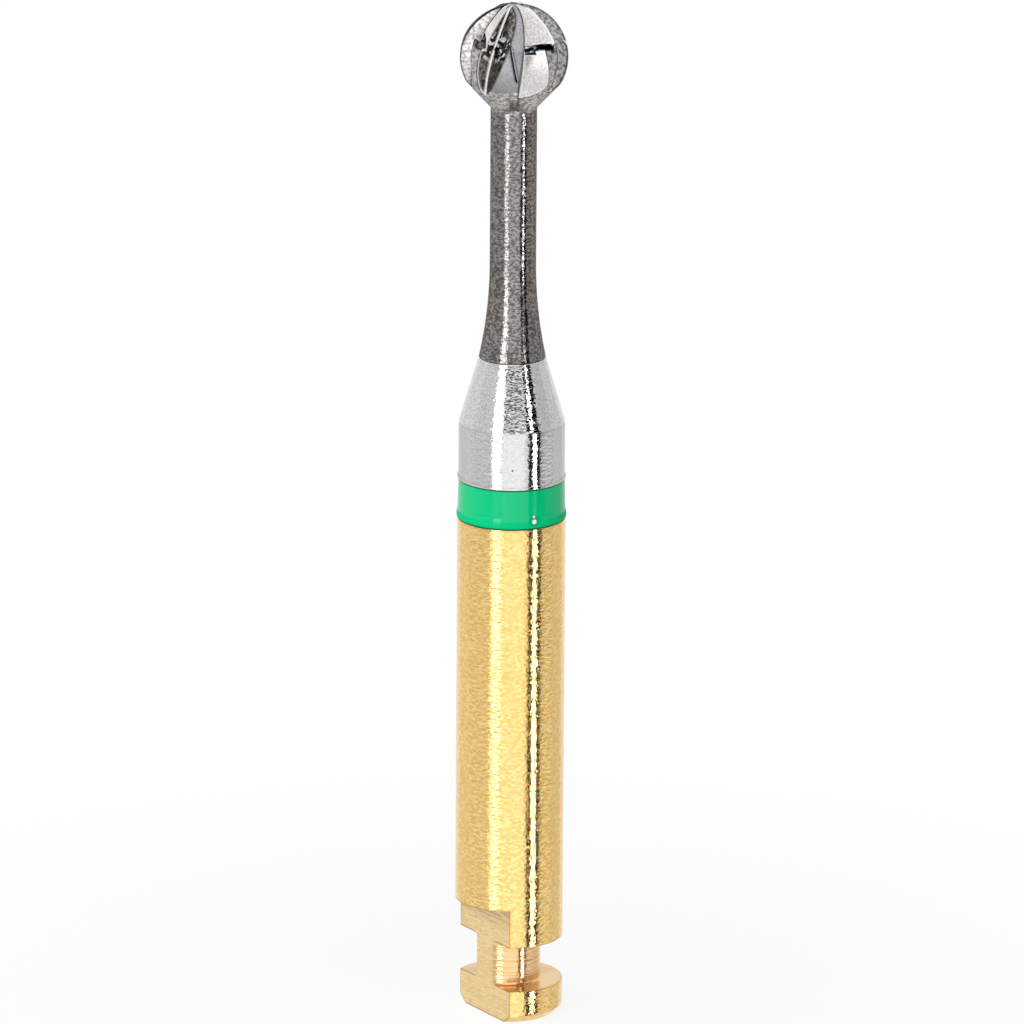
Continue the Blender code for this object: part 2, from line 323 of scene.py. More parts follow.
def milled_flat():
    """The drive flat: pale plating over the cutter's marks, with brown streaks below the ledge and dark
    brown painted shade along its edges.
    """
    material, sheet = new_finish("milled_flat")
    place = sheet.place()
    marks = sheet.grain(place, (0.9, 0.9, 30.0), 3.0)
    scratches = sheet.grain(place, (4.5, 4.5, 58.0))
    from_ledge = sheet.height(place) - MM * DRIVE_FLAT_LENGTH
    colour = sheet.mix(sheet.step(marks, 0.35, 0.6), rgb(0.98, 0.69, 0.32), rgb(1.0, 0.79, 0.42))
    colour = sheet.mix(sheet.step(scratches, 0.5, 0.66) * 0.7, colour, rgb(0.72, 0.46, 0.20))
    streaks = sheet.step(from_ledge, -0.59, -0.24) * sheet.step(marks, 0.44, 0.54)
    colour = sheet.mix(streaks * 0.75, colour, rgb(0.50, 0.33, 0.20))
    # Painted shade: dark brown lines along the edges of the flat
    colour = sheet.mix(edge_line(sheet, GOLD_SHADE_REACH, 0.02) * 0.8, colour, rgb(0.35, 0.19, 0.07))
    surface(sheet, {
        "Base Color": colour, "Metallic": 1.0, "Roughness": 0.35, "Normal": sheet.relief(marks, 0.000004)})
    return material


def turned_groove():
    """The latch groove, turned after the rest: pinkish plating over rings."""
    material, sheet = new_finish("turned_groove")
    place = sheet.place()
    rings = sheet.grain(place, (0.9, 0.9, 27.0))
    specks = sheet.grain(place, (14.0, 14.0, 14.0))
    colour = sheet.mix(sheet.step(rings, 0.38, 0.62), rgb(0.78, 0.48, 0.21), rgb(0.92, 0.63, 0.34))
    surface(sheet, {
        "Base Color": colour, "Metallic": 1.0, "Roughness": 0.16,
        "Normal": sheet.relief(rings + specks * 0.8, 0.0000045)})
    return material


def bare_steel():
    """Ground stainless steel, dimpled a little, with one pit in black painted shade and a faint line below
    the cone.
    """
    material, sheet = new_finish("bare_steel")
    place = sheet.place()
    dimples = sheet.grain(place, (8.0, 8.0, 16.0))
    fine = sheet.grain(place, (16.0, 16.0, 30.0))
    line = sheet.step(sheet.height(place) - MM * CONE_START, -0.03, -0.01)
    colour = sheet.mix(sheet.step(fine, 0.36, 0.64), rgb(0.61, 0.60, 0.61), rgb(0.71, 0.70, 0.70))
    colour = sheet.mix(line * 0.35, colour, rgb(0.35, 0.34, 0.34))
    # Painted shade: the black of a small pit
    colour = sheet.mix(sheet.spot(place, PIT_SHADE, PIT_SHADE_SIZE), colour, rgb(0.03, 0.03, 0.03))
    surface(sheet, {
        "Base Color": colour, "Metallic": 1.0, "Roughness": 0.12, "Specular Tint": rgb(0.8, 0.8, 0.8),
        "Anisotropic": 0.8, "Anisotropic Rotation": 0.25, "Normal": sheet.relief(dimples, 0.000005)})
    return material


def cone_steel():
    """The steel of the cone, where the turning tool left a worm-like chatter."""
    material, sheet = new_finish("cone_steel")
    place = sheet.place()
    chatter = sheet.grain(place, (7.0, 7.0, 27.0), 1.0)
    specks = sheet.step(sheet.grain(place, (22.0, 22.0, 24.0), 3.0), 0.36, 0.64)
    colour = sheet.mix(specks, rgb(0.60, 0.59, 0.60), rgb(0.82, 0.81, 0.81))
    surface(sheet, {
        "Base Color": colour, "Metallic": 1.0, "Roughness": 0.08, "Normal": sheet.relief(chatter, 0.000009)})
    return material


def green_enamel():
    """Green enamel under its own gloss: a little wavy, darker where it ends and duller along its bead, with
    two white painted highlights, each in a ring of darker painted shade.
    """
    material, sheet = new_finish("green_enamel")
    place = sheet.place()
    waves = sheet.grain(place, (3.0, 3.0, 5.0))
    height = sheet.height(place)
    middle, half = MM * (RING_LOW.z + RING_HIGH.z) / 2, MM * (RING_HIGH.z - RING_LOW.z) / 2
    ends = sheet.step(sheet.maths("ABSOLUTE", height - middle), half - 0.035, half - 0.01)
    colour = sheet.mix(ends, rgb(0.001, 0.59, 0.225), rgb(0.001, 0.15, 0.07))
    # Painted highlight: a white spot on the enamel, in a ring of darker green painted shade
    for centre, size in ENAMEL_HIGHLIGHTS:
        colour = sheet.mix(sheet.spot(place, centre, 1.6 * size) * 0.6, colour, rgb(0.001, 0.30, 0.11))
        colour = sheet.mix(sheet.spot(place, centre, 0.75 * size), colour, WHITE)
    from_bead = sheet.maths("ABSOLUTE", height - MM * BEAD_CENTRE)
    gloss = sheet.step(from_bead, 0.06, 0.14) * 0.84 + 0.16
    surface(sheet, {
        "Base Color": colour, "Roughness": 0.5, "Specular IOR Level": 0.0,
        "Coat Weight": gloss, "Coat Roughness": 0.03, "Coat IOR": 1.35,
        "Normal": sheet.relief(waves, 0.000003)})
    return material


def carbide_neck():
    """The dark carbide of the neck, turned with a worm-like chatter, and the cone behind the ball in a paler
    copy of that carbide: painted light.
    """
    material, sheet = new_finish("carbide_neck")
    place = sheet.place()
    chatter = sheet.grain(place, (2.4, 2.4, 20.0))
    jags = sheet.grain(place, (16.0, 16.0, 12.0))
    grain = sheet.grain(place, (13.0, 13.0, 22.0), 3.0)
    mottle = sheet.step(grain, 0.38, 0.62)
    from_cone = sheet.height(place) - MM * BACK_CONE_START
    neck = sheet.mix(mottle, rgb(0.115, 0.108, 0.102), rgb(0.34, 0.32, 0.308))
    # Painted light: the same carbide as the neck, made paler on the back cone
    cone = sheet.mix(mottle, rgb(0.28, 0.262, 0.248), rgb(0.68, 0.65, 0.62))
    colour = sheet.mix(sheet.step(from_cone, -0.13, 0.12), neck, cone)
    surface(sheet, {
        "Base Color": colour, "Metallic": 1.0, "Roughness": 0.12, "Specular Tint": rgb(0.5, 0.5, 0.5),
        "Anisotropic": 0.6, "Anisotropic Rotation": 0.25,
        "Normal": sheet.relief(chatter * 0.5 + jags, 0.0000045)})
    return material


def ground_carbide(name, dark, light, grain_size, contrast=0.12, roughness=0.5, above=1.0,
                   dark_line=1.0, bright_line=0.0, painted_glints=0.0):
    """One kind of ground face on the head, in two greys of grain that are partly painted light and shade.

    contrast is how soft the grain is, and above scales the greys over the notches: painted light over 1,
    painted shade under 1. The painted shade lines and the painted highlight lines beside its edges are as
    strong as dark_line and bright_line say. The last argument is how strong the painted glints, in a band of
    painted shade, are at the height of the notches.
    """
    material, sheet = new_finish(name)
    place = sheet.place()
    grain = sheet.grain(place, (grain_size, grain_size, grain_size), 3.0)
    mottle = sheet.step(grain, 0.5 - contrast, 0.5 + contrast)
    notch_height = HEAD_CENTRE + HEAD_RADIUS * sin(radians(NOTCH_LATITUDES[0][0]))
    from_notch = sheet.height(place) - MM * notch_height
    colour = sheet.mix(mottle, rgb(*dark), rgb(*light))
    metallic = 1.0
    # Painted light and painted shade: the greys over the notches scaled by above
    if above != 1:
        greys = [rgb(*(min(1.0, tone * above) for tone in grey)) for grey in (dark, light)]
        colour = sheet.mix(sheet.step(from_notch, -0.02, 0.02), colour, sheet.mix(mottle, *greys))
    # Painted glints: white spots in a band of painted shade at the height of the notches
    if painted_glints:
        glint_shade_band = (1 - sheet.step(sheet.maths("ABSOLUTE", from_notch), 0.1, 0.4)) * painted_glints
        glint_spots = glint_shade_band * sheet.step(sheet.grain(place, (9.0, 9.0, 9.0), 1.0), 0.54, 0.58)
        colour = sheet.mix(glint_shade_band * 0.8, colour, SHADE_BLACK)
        colour = sheet.mix(glint_spots, colour, WHITE)
        metallic = 1 - glint_spots
    # Painted shade: black lines beside the edges
    if dark_line:
        colour = sheet.mix(edge_line(sheet, HEAD_SHADE_LINE_REACH, 0.012) * dark_line, colour, SHADE_BLACK)
    # Painted highlight: white lines beside the edges, without metal so that they stay bright
    if bright_line:
        line = edge_line(sheet, HEAD_HIGHLIGHT_LINE_REACH, 0.024) * bright_line
        colour = sheet.mix(line, colour, WHITE)
        metallic = (1 - line) * metallic
    surface(sheet, {
        "Base Color": colour, "Metallic": metallic, "Roughness": roughness,
        "Specular Tint": rgb(0.4, 0.4, 0.4), "Normal": sheet.relief(grain, 0.0000045)})
    return material


def white_floor_highlight():
    """The narrow floor of a flute, in white painted highlight so that it shows as a white line between its
    dark walls.
    """
    material, sheet = new_finish("carbide_floor")
    surface(sheet, {"Base Color": WHITE, "Roughness": 0.4})
    return material


def shaded_notch():
    """The notch across the first wide back: black painted shade, with a few blue-white painted glints."""
    material, sheet = new_finish("carbide_notch")
    glints = sheet.step(sheet.grain(sheet.place(), (6.0, 6.0, 9.0), 1.0), 0.5, 0.62)
    surface(sheet, {
        "Base Color": sheet.mix(glints, rgb(0.005, 0.005, 0.007), rgb(0.70, 0.75, 0.85)),
        "Metallic": 1.0, "Roughness": 0.25})
    return material


def new_object(name, bm, materials=()):
    """An object from a bmesh, with its faces turned outwards."""
    mesh = bpy.data.meshes.new(name)
    bmesh.ops.recalc_face_normals(bm, faces=bm.faces)
    bm.to_mesh(mesh)
    bm.free()
    for material in materials:
        mesh.materials.append(material)
    item = bpy.data.objects.new(name, mesh)
    bpy.context.scene.collection.objects.link(item)
    return item


def shade(item):
    item.data.shade_smooth()
    item.data.set_sharp_from_angle(angle=radians(SHARP_ANGLE))


def ride_for(item, node):
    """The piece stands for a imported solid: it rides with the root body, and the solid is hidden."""
    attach(item, "root")
    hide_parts(node)


def arc(centre_radius, centre_height, arc_radius, start, end, steps):
    """Profile points (radius, height) along an arc, its angles counted from the outward direction."""
    points = []
    for step in range(steps + 1):
        angle = radians(start + (end - start) * step / steps)
        points.append((centre_radius + arc_radius * cos(angle), centre_height + arc_radius * sin(angle)))
    return points


def eased(corners):
    """An outline whose corners (radius, height, ease) are rounded from that far before each to as far after.

    A guard point beside each end of a rounding keeps the shading of the long faces flat.
    """
    points = []
    for i, (radius, height, ease) in enumerate(corners):
        here = Vector((radius, height))
        if not ease:
            points.append(here)
            continue
        before = (Vector(corners[i - 1][:2]) - here).normalized() * ease
        after = (Vector(corners[i + 1][:2]) - here).normalized() * ease
        points.append(here + before * EASE_GUARD)
        for step in range(EASE_STEPS + 1):
            share = step / EASE_STEPS
            points.append(here + before * (1 - share) ** 2 + after * share**2)
        points.append(here + after * EASE_GUARD)
    return [(point.x, point.y) for point in points]


def turned(profile, segments, closed_ring=False, shape=None):
    """A solid of revolution about Z. Profile points on the axis are poles. A closed ring joins its ends.

    shape takes a radius, a height and an angle and gives the radius and height that the surface has there.
    """
    bm = bmesh.new()
    angles = [2 * pi * i / segments for i in range(segments)]
    rings = []
    for radius, height in profile:
        if radius == 0:
            rings.append([bm.verts.new((0, 0, height))])
            continue
        ring = []
        for angle in angles:
            r, z = shape(radius, height, angle) if shape else (radius, height)
            ring.append(bm.verts.new((r * cos(angle), r * sin(angle), z)))
        rings.append(ring)
    pairs = list(zip(rings, rings[1:]))
    if closed_ring:
        pairs.append((rings[-1], rings[0]))
    for lower, upper in pairs:
        for i in range(segments):
            j = (i + 1) % segments
            corners = [lower[i % len(lower)], lower[j % len(lower)]]
            corners += [upper[j % len(upper)], upper[i % len(upper)]]
            bm.faces.new(list(dict.fromkeys(corners)))
    return bm


def cut(item, cutters):
    """Takes the cutters' shapes out of the item for good."""
    tools = bpy.data.collections.new(item.name + "_cutters")
    bpy.context.scene.collection.children.link(tools)
    for cutter in cutters:
        bpy.context.scene.collection.objects.unlink(cutter)
        tools.objects.link(cutter)
    modifier = item.modifiers.new(tools.name, "BOOLEAN")
    modifier.operation = "DIFFERENCE"
    modifier.operand_type = "COLLECTION"
    modifier.collection = tools
    modifier.material_mode = "TRANSFER"
    bpy.context.view_layer.update()
    graph = bpy.context.evaluated_depsgraph_get()
    mesh = bpy.data.meshes.new_from_object(item.evaluated_get(graph))
    item.modifiers.clear()
    item.data = mesh
    for cutter in list(tools.objects):
        bpy.data.objects.remove(cutter)
    bpy.data.collections.remove(tools)


def shank_outline():
    ease = EDGE_EASE
    ring_floor = SHANK_RADIUS - RING_GROOVE_DEPTH
    corners = [(0, 0, 0), (SHANK_RADIUS - END_CHAMFER, 0, 2 * ease), (SHANK_RADIUS, END_CHAMFER, 2 * ease)]
    corners += [(SHANK_RADIUS, FLANGE_LENGTH, FLANGE_CHAMFER)]
    corners += [(LATCH_NECK_RADIUS, FLANGE_LENGTH, LATCH_NECK_FILLET)]
    corners += [(LATCH_NECK_RADIUS, GROOVE_TOP, LATCH_NECK_FILLET), (SHANK_RADIUS, GROOVE_TOP, ease)]
    corners += [(SHANK_RADIUS, RING_BOTTOM, ease), (ring_floor, RING_BOTTOM, ease)]
    corners += [(ring_floor, RING_TOP, ease), (SHANK_RADIUS, RING_TOP, ease), (SHANK_RADIUS, LAND_TOP, ease)]
    corners += [(BARE_RADIUS, LAND_TOP, ease / 2), (BARE_RADIUS, CONE_START, 2 * ease)]
    corners += [(JOINT_RADIUS, SHANK_TOP, 2 * ease), (0, SHANK_TOP, 0)]
    return eased(corners)


def make_shank():
    """The turned shank with its drive flat milled across the lower end."""
    finishes = [gold_plate(), bare_steel(), milled_flat(), turned_groove(), cone_steel()]
    shank = new_object("latch_shank_turned", turned(shank_outline(), SHANK_SEGMENTS), finishes)
    bm = bmesh.new()
    bmesh.ops.create_cube(bm, size=1)
    size = Vector((4 * SHANK_RADIUS, 2 * SHANK_RADIUS, 2 * DRIVE_FLAT_LENGTH))
    bmesh.ops.scale(bm, vec=size, verts=bm.verts)
    bmesh.ops.translate(bm, vec=(0, -DRIVE_FLAT_OFFSET - SHANK_RADIUS, 0), verts=bm.verts)
    cut(shank, [new_object("drive_flat_cutter", bm, [finishes[FLAT]])])
    for face in shank.data.polygons:
        centre = face.center
        radius = centre.xy.length
        on_flat = centre.y < -DRIVE_FLAT_OFFSET + SEAT_GAP and centre.z < DRIVE_FLAT_LENGTH + SEAT_GAP
        in_groove = FLANGE_LENGTH < centre.z < GROOVE_TOP and radius < SHANK_RADIUS - FLANGE_CHAMFER
        if centre.z > RING_TOP:
            face.material_index = CONE if centre.z > CONE_START else BARE
        elif on_flat and face.normal.y < -0.99:
            face.material_index = FLAT
        else:
            face.material_index = GROOVE if in_groove else GOLD
    shade(shank)
    ride_for(shank, "latch_shank")
    return shank


def enamel_radius(height):
    """The enamel's outer radius: a thin top, and a bead just above the lower edge."""
    share = (height - RING_LOW.z) / (RING_HIGH.z - RING_LOW.z)
    bead = BEAD_HEIGHT * exp(-(((height - BEAD_CENTRE) / BEAD_WIDTH) ** 2))
    return SHANK_RADIUS - RING_TOP_SINK * share + bead


def make_ring():
    """The enamel ring in its groove."""
    inner = SHANK_RADIUS - RING_GROOVE_DEPTH + SEAT_GAP
    bottom, top = RING_LOW.z, RING_HIGH.z
    ease = EDGE_EASE
    profile = [(inner, bottom), (enamel_radius(bottom) - 2 * ease, bottom)]
    profile += [(enamel_radius(bottom + ease / 4) - ease / 2, bottom + ease / 4)]
    for row in range(RING_ROWS + 1):
        height = bottom + ease + (top - bottom - 2 * ease) * row / RING_ROWS
        profile.append((enamel_radius(height), height))
    profile += [(enamel_radius(top) - ease / 2, top - ease / 4), (enamel_radius(top) - 2 * ease, top)]
    profile += [(inner, top)]
    ring = new_object("enamel_ring", turned(profile, SHANK_SEGMENTS, closed_ring=True), [green_enamel()])
    shade(ring)
    ride_for(ring, "colour_ring")
    return ring


def head_outline():
    """Outline of the carbide blank: a concave flare, the neck, the back cone and the ball."""
    flare_drop = JOINT_RADIUS - NECK_RADIUS
    flare_radius = (NECK_FLARE_LENGTH**2 + flare_drop**2) / (2 * flare_drop)
    flare_angle = degrees(asin(NECK_FLARE_LENGTH / flare_radius))
    flare_top = NECK_START + NECK_FLARE_LENGTH
    corner_latitude = -degrees(asin(BACK_CONE_DROP / HEAD_RADIUS))
    ball_steps = round((90 - corner_latitude) / LATITUDE_STEP)
    ball = arc(0, HEAD_CENTRE, HEAD_RADIUS, corner_latitude, 90, ball_steps)
    corners = [(0, NECK_START, 0)]
    flare = arc(NECK_RADIUS + flare_radius, flare_top, flare_radius, 180 + flare_angle, 180, FLARE_STEPS)
    corners += [(*point, 0) for point in flare]
    corners += [(NECK_RADIUS, BACK_CONE_START, 4 * EDGE_EASE)]
    corners += [(*point, 0) for point in ball[:-1]]
    corners += [(0, HEAD_CENTRE + HEAD_RADIUS, 0)]
    return eased(corners)


def edge_angles():
    """The azimuth of each cutting edge at the head's widest level. Two gaps between blades are uneven."""
    angles = [FIRST_EDGE_ANGLE]
    for pitch in UNEVEN_PITCHES:
        angles.append(angles[-1] + pitch)
    even_pitch = (360 - sum(UNEVEN_PITCHES)) / (BLADE_COUNT - len(UNEVEN_PITCHES))
    while len(angles) < BLADE_COUNT:
        angles.append(angles[-1] + even_pitch)
    return angles


def flute_floor(polar_angle):
    """Radius and height, from the ball's centre, of the flute's floor in a direction from the pole."""
    centre_distance = FLUTE_PATH_RADIUS - (HEAD_RADIUS - FLUTE_DEPTH)
    turn = radians(polar_angle - (90 - FLUTE_DEEPEST_LATITUDE))
    reach = sqrt(FLUTE_PATH_RADIUS**2 - (centre_distance * sin(turn)) ** 2) - centre_distance * cos(turn)
    if polar_angle < 90:
        tip_share = min(1, (polar_angle - FLUTE_TIP_ANGLE) / FLUTE_TIP_RUN)
        reach = min(reach, HEAD_RADIUS - FLUTE_TIP_DEPTH * tip_share)
    return reach * sin(radians(polar_angle)), reach * cos(radians(polar_angle))


def at_azimuth(radius, height, sideways, azimuth):
    """World point from a radius, a height above the ball's centre and a tangential offset."""
    angle = radians(azimuth + BLADE_TWIST * height / HEAD_RADIUS)
    x = radius * cos(angle) - sideways * sin(angle)
    y = radius * sin(angle) + sideways * cos(angle)
    return Vector((x, y, HEAD_CENTRE + height))


def on_ball(latitude, azimuth, depth=0.0):
    """World point under the ball's surface, at a latitude and beside a blade of the given azimuth."""
    reach = HEAD_RADIUS - depth
    return at_azimuth(reach * cos(radians(latitude)), reach * sin(radians(latitude)), 0, azimuth)


def swept(name, rows, finishes, sides=None):
    """A cutter whose cross-sections are the given rows of points, closed at both ends.

    sides gives the number of the finish that each side of the cross-section leaves behind.
    """
    bm = bmesh.new()
    rows = [[bm.verts.new(point) for point in row] for row in rows]
    for first, second in zip(rows, rows[1:]):
        for i in range(len(first)):
            j = (i + 1) % len(first)
            face = bm.faces.new((first[i], first[j], second[j], second[i]))
            face.material_index = sides[i] if sides else 0
    bm.faces.new(rows[0])
    bm.faces.new(rows[-1])
    return new_object(name, bm, finishes)


def back_rise(latitude, split):
    """How steeply a blade's back climbs from its flute, in degrees. No split makes a narrow back."""
    if split is None:
        return NARROW_BACK_RISE
    if latitude > split:
        return WIDE_BACK_RISE
    share = min(1, (split - latitude) / (split - FLUTE_LOW_LATITUDE))
    return LOWER_BACK_STEEPEST + (LOWER_BACK_FLATTEST - LOWER_BACK_STEEPEST) * share


def flute_cutter(name, azimuth, faces, split=None):
    """The space that one flute takes: a lopsided V swept down the ball, between a rake face and a back.

    faces holds the finishes of the rake face, the back and the narrow floor between them.
    """
    half = FLUTE_FLOOR_WIDTH / 2
    reach = HEAD_RADIUS
    rake_side = -half - reach * tan(radians(RAKE_FACE_LEAN))
    back_side = half + reach
    rows = []
    for station in range(FLUTE_STATIONS + 1):
        polar_angle = FLUTE_TIP_ANGLE + (FLUTE_END_ANGLE - FLUTE_TIP_ANGLE) * station / FLUTE_STATIONS
        before, after = flute_floor(polar_angle - SLOPE_SPAN), flute_floor(polar_angle + SLOPE_SPAN)
        along = Vector(after) - Vector(before)
        along.normalize()
        radius, height = flute_floor(polar_angle)
        climb = reach * tan(radians(back_rise(90 - polar_angle, split)))
        section = [(-half, 0), (half, 0), (back_side, climb), (back_side, reach), (rake_side, reach)]
        row = []
        for side, up in section:
            row.append(at_azimuth(radius - along.y * up, height + along.x * up, side, azimuth))
        rows.append(row)
    return swept(name, rows, faces, sides=(2, 1, 1, 0, 0))


def groove_cutter(name, path, depth, lower_width, upper_width, walls):
    """A V along a path of points on the surface. Its two widths are where it meets that surface.

    walls holds the finish of the lower wall, and the upper one's too where that differs.
    """
    centre = Vector((0, 0, HEAD_CENTRE))
    spread = (depth + GROOVE_CLEARANCE) / depth
    last = len(path) - 1
    rows = []
    for i, point in enumerate(path):
        ahead = path[min(i + 1, last)] - path[max(i - 1, 0)]
        outward = (point - centre).normalized()
        side = outward.cross(ahead).normalized()
        side = -side if side.z < 0 else side
        rim = point + outward * GROOVE_CLEARANCE
        upper, lower = side * upper_width * spread, side * lower_width * spread
        rows.append([point - outward * depth, rim + upper, rim - lower])
    return swept(name, rows, walls, sides=(len(walls) - 1, 0, 0))


def along_ball(start, end, azimuth):
    """Points over the ball between two places, each a latitude and an angle behind the edge at azimuth."""
    points = []
    for step in range(SLIT_STEPS + 1):
        share = step / SLIT_STEPS
        latitude = start[0] + (end[0] - start[0]) * share
        behind = start[1] + (end[1] - start[1]) * share
        points.append(on_ball(latitude, azimuth - behind))
    return points


def slit_cutter(name, ends, edge, finishes):
    """A slit over the land, with a lower wall in black painted shade and an upper one in white painted
    highlight.
    """
    path = along_ball(*ends, edge)
    walls = [finishes["slit"], finishes["floor"]]
    return groove_cutter(name, path, SLIT_DEPTH, SLIT_WIDTH / 2, SLIT_WIDTH / 2, walls)


def narrow_blade_cutters(number, edge, floor, finishes):
    """A flute that leaves a narrow back, the slit over the land and the short notch beside the flute."""
    start_latitude, end_latitude = SHORT_NOTCH_LATITUDES
    start = on_ball(start_latitude, floor, FLUTE_DEPTH)
    path = [start, on_ball(end_latitude, edge - SHORT_NOTCH_END_ANGLE)]
    width = NOTCH_STEEP_WIDTH
    # The first flute takes darker copies of the rake and back: painted shade
    kinds = ("rake", "narrow_back", "floor") if number else ("shaded_rake", "shaded_back", "floor")
    return [
        flute_cutter(f"flute_{number}", floor, [finishes[kind] for kind in kinds]),
        slit_cutter(f"land_slit_{number}", LAND_SLIT, edge, finishes),
        groove_cutter(f"short_notch_{number}", path, SHORT_NOTCH_DEPTH, width, width, [finishes["notch"]]),
    ]


def wide_blade_cutters(number, edge, floor, latitudes, notch, finishes):
    """A flute that leaves a wide back above its split, the notch across that back and the slit below it."""
    start_latitude, end_latitude = latitudes
    start = on_ball(start_latitude, floor, FLUTE_DEPTH)
    path = [start, start.lerp(on_ball(end_latitude, edge), NOTCH_OVERRUN)]
    widths = NOTCH_STEEP_WIDTH, NOTCH_SLOPE_WIDTH
    faces = [finishes["rake"], finishes["wide_back"], finishes["floor"]]
    return [
        flute_cutter(f"flute_{number}", floor, faces, start_latitude),
        groove_cutter(f"notch_{number}", path, NOTCH_DEPTH, *widths, [notch]),
        slit_cutter(f"back_slit_{number}", BACK_SLIT, edge, finishes),
    ]


def head_finishes():
    """Each kind of face on the head, its greys partly painted light and shade. The first flute, its land and
    the notch beside it have their own copies of the finishes: painted light and shade.
    """
    kinds = {
        "land": dict(
            dark=(0.31, 0.31, 0.32), light=(0.38, 0.38, 0.40), grain_size=22, above=1.35, dark_line=0.9),
        # The other blades' lands: another copy of the land in its own greys, painted light and shade
        "other_land": dict(
            dark=(0.30, 0.29, 0.28), light=(0.66, 0.64, 0.62), grain_size=14, roughness=0.35, above=0.5,
            dark_line=0.9),
        "wide_back": dict(
            dark=(0.54, 0.52, 0.51), light=(0.74, 0.72, 0.70), grain_size=22, above=1.4, dark_line=0.0,
            bright_line=1.0),
        "narrow_back": dict(
            dark=(0.26, 0.255, 0.25), light=(0.84, 0.82, 0.80), grain_size=15, contrast=0.14, roughness=0.3),
        "rake": dict(
            dark=(0.42, 0.40, 0.39), light=(0.88, 0.86, 0.84), grain_size=15, contrast=0.14, roughness=0.3),
        # Darker copies of the narrow back and the rake for the first flute: painted shade, with painted
        # glints and painted highlight lines
        "shaded_back": dict(
            dark=(0.06, 0.055, 0.05), light=(0.44, 0.41, 0.38), grain_size=17, contrast=0.11,
            roughness=0.25, painted_glints=0.8),
        "shaded_rake": dict(
            dark=(0.05, 0.045, 0.04), light=(0.36, 0.33, 0.30), grain_size=17, contrast=0.11,
            roughness=0.25, bright_line=1.0, painted_glints=1.0),
        # Painted shade: the near-black of the slits
        "slit": dict(
            dark=(0.008, 0.008, 0.008), light=(0.03, 0.03, 0.03), grain_size=10, dark_line=0.0),
    }
    finishes = {kind: ground_carbide("carbide_" + kind, **look) for kind, look in kinds.items()}
    finishes["floor"] = white_floor_highlight()
    finishes["notch"] = shaded_notch()
    return finishes


def make_head():
    """The carbide ball and its neck, with the flutes, notches and slits ground out of it."""
    finishes = head_finishes()
    blank = [finishes["land"], carbide_neck(), finishes["other_land"]]
    head = new_object("carbide_head_ground", turned(head_outline(), HEAD_SEGMENTS), blank)
    edges = edge_angles()
    for face in head.data.polygons:
        x, y, z = face.center
        azimuth = degrees(atan2(y, x)) - BLADE_TWIST * (z - HEAD_CENTRE) / HEAD_RADIUS
        # The first blade's land gets its own copy of the land finish, the others another: painted light and
        # shade
        first_blade = edges[0] < azimuth < edges[1] + FLUTE_AFTER_EDGE_ANGLE
        if z < HEAD_CENTRE - BACK_CONE_DROP:
            face.material_index = NECK
        else:
            face.material_index = FIRST_LAND if first_blade else OTHER_LAND
    cutters = []
    for i, before in enumerate(edges):
        floor = before + FLUTE_AFTER_EDGE_ANGLE
        edge = edges[(i + 1) % len(edges)]
        if i % 2:
            latitudes = NOTCH_LATITUDES[i // 2 % len(NOTCH_LATITUDES)]
            # Only the first notch gets the black painted shade; the others take the narrow back's finish
            notch = finishes["notch" if i == 1 else "narrow_back"]
            cutters += wide_blade_cutters(i, edge, floor, latitudes, notch, finishes)
        else:
            cutters += narrow_blade_cutters(i, edge, floor, finishes)
    cut(head, cutters)
    shade(head)
    ride_for(head, "carbide_head")
    return head


def camera_axes():
    """The camera's back, right and up directions."""
    turn, rise = radians(CAMERA_AZIMUTH), radians(CAMERA_ELEVATION)
    back = Vector((sin(turn) * cos(rise), -cos(turn) * cos(rise), sin(rise)))
    right = Vector((cos(turn), sin(turn), 0.0))
    return back, right, back.cross(right)


def make_camera():
    back, right, up = camera_axes()
    axes = Matrix((right, up, back)).transposed()
    camera = bpy.data.objects.new("camera", bpy.data.cameras.new("camera"))
    camera.data.sensor_width = SENSOR_WIDTH
    camera.data.lens = SENSOR_WIDTH * CAMERA_DISTANCE / VIEW_WIDTH
    place = Vector((0, 0, VIEW_HEIGHT)) + right * VIEW_OFFSET + back * CAMERA_DISTANCE
    turn = Matrix.Rotation(radians(CAMERA_ROLL), 3, "Z")
    camera.matrix_world = Matrix.Translation(place) @ (axes @ turn).to_4x4()
    bpy.context.scene.collection.objects.link(camera)
    bpy.context.scene.camera = camera


